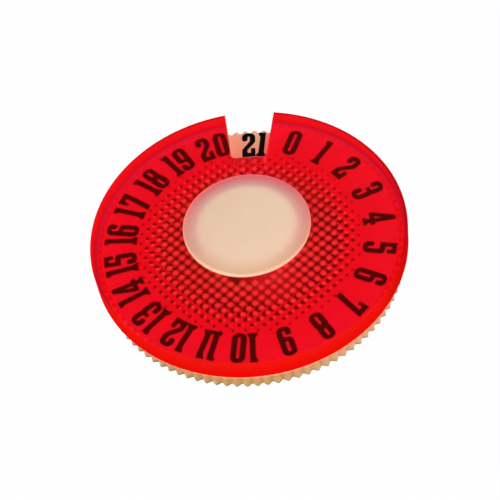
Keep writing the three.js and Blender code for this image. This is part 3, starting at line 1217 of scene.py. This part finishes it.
def direction(azimuth, elevation):
    """The way out to an azimuth, from -Y towards +X, and an elevation."""
    level = math.cos(elevation)
    return Vector((math.sin(azimuth) * level, -math.cos(azimuth) * level, math.sin(elevation)))


def hang_lamp(name, azimuth, elevation, distance, width, depth, power):
    """A soft oblong lamp that faces the object."""
    lamp = bpy.data.lights.new(name, "AREA")
    lamp.shape = "RECTANGLE"
    lamp.size, lamp.size_y = width, depth
    lamp.energy = power * bpy.context.scene.counter_stage.lamp_level
    holder = bpy.data.objects.new(name, lamp)
    bpy.context.scene.collection.objects.link(holder)
    back = direction(math.radians(azimuth), math.radians(elevation))
    holder.location = back * distance
    holder.rotation_euler = back.to_track_quat("Z", "Y").to_euler()


class LIFECOUNTER_OT_stage(Operator):
    """Make the pale floor, the soft lamps, the surround and the camera"""

    bl_idname = "lifecounter.stage"
    bl_label = "Stage"
    bl_options = {"REGISTER", "UNDO"}

    def execute(self, context):
        scene = context.scene
        stage = scene.counter_stage
        start_piece()
        bpy.ops.mesh.primitive_circle_add(vertices=96, radius=FLOOR_RADIUS, fill_type="NGON", location=AXIS)
        floor = name_piece("floor")
        floor.data.materials.append(white_ground())

        for lamp in LAMPS:
            hang_lamp(*lamp)

        world = bpy.data.worlds.new("Soft surround")
        world.use_nodes = True
        sky = world.node_tree.nodes["Background"].inputs
        sky["Color"].default_value = (1.0, 1.0, 1.0, 1.0)
        sky["Strength"].default_value = stage.sky_level
        scene.world = world

        camera = bpy.data.cameras.new("photo_camera")
        camera.sensor_width = SENSOR_WIDTH
        camera.lens = stage.camera_lens
        camera.clip_start = 0.005
        camera.clip_end = 20.0
        holder = bpy.data.objects.new("photo_camera", camera)
        scene.collection.objects.link(holder)
        back = direction(stage.camera_azimuth, stage.camera_elevation)
        aim = Vector((0.0, 0.0, DIAL_HIGH.z))
        focal = stage.camera_lens / SENSOR_WIDTH * PICTURE_WIDTH
        view = (
            back.to_track_quat("Z", "Y").to_matrix().to_4x4()
            @ Matrix.Rotation(stage.camera_roll, 4, "Z")
            @ Matrix.Rotation(-math.atan(stage.aim_over / focal), 4, "X")
            @ Matrix.Rotation(-math.atan(stage.aim_left / focal), 4, "Y")
        )
        holder.matrix_world = Matrix.Translation(aim + back * stage.camera_distance) @ view
        scene.camera = holder
        scene.view_settings.view_transform = "Standard"
        return {"FINISHED"}


class LIFECOUNTER_PT_panel(Panel):
    """Lists the pieces of the life counter and its stage"""

    bl_idname = "LIFECOUNTER_PT_panel"
    bl_label = "Life Counter"
    bl_space_type = "VIEW_3D"
    bl_region_type = "UI"
    bl_category = "Life Counter"

    def draw(self, context):
        layout = self.layout
        for operator in OPERATORS:
            layout.operator(operator.bl_idname)
        for title, group in (
            ("Sizes", context.scene.counter_sizes),
            ("Colours", context.scene.counter_colours),
            ("Stage", context.scene.counter_stage),
        ):
            box = layout.box()
            box.label(text=title)
            for name in group.__annotations__:
                box.prop(group, name)


OPERATORS = (
    LIFECOUNTER_OT_stage,
    LIFECOUNTER_OT_wheel,
    LIFECOUNTER_OT_numbers,
    LIFECOUNTER_OT_dial,
    LIFECOUNTER_OT_dots,
    LIFECOUNTER_OT_hub,
)
CLASSES = (
    LIFECOUNTER_PG_sizes,
    LIFECOUNTER_PG_colours,
    LIFECOUNTER_PG_stage,
    *OPERATORS,
    LIFECOUNTER_PT_panel,
)


def register():
    for item in CLASSES:
        bpy.utils.register_class(item)
    bpy.types.Scene.counter_sizes = PointerProperty(type=LIFECOUNTER_PG_sizes)
    bpy.types.Scene.counter_colours = PointerProperty(type=LIFECOUNTER_PG_colours)
    bpy.types.Scene.counter_stage = PointerProperty(type=LIFECOUNTER_PG_stage)


def unregister():
    del bpy.types.Scene.counter_stage
    del bpy.types.Scene.counter_colours
    del bpy.types.Scene.counter_sizes
    for item in reversed(CLASSES):
        bpy.utils.unregister_class(item)


def main():
    register()
    bpy.ops.lifecounter.stage()
    bpy.ops.lifecounter.wheel()
    bpy.ops.lifecounter.numbers()
    bpy.ops.lifecounter.dial()
    bpy.ops.lifecounter.dots()
    bpy.ops.lifecounter.hub()


if __name__ == "__main__":
    main()
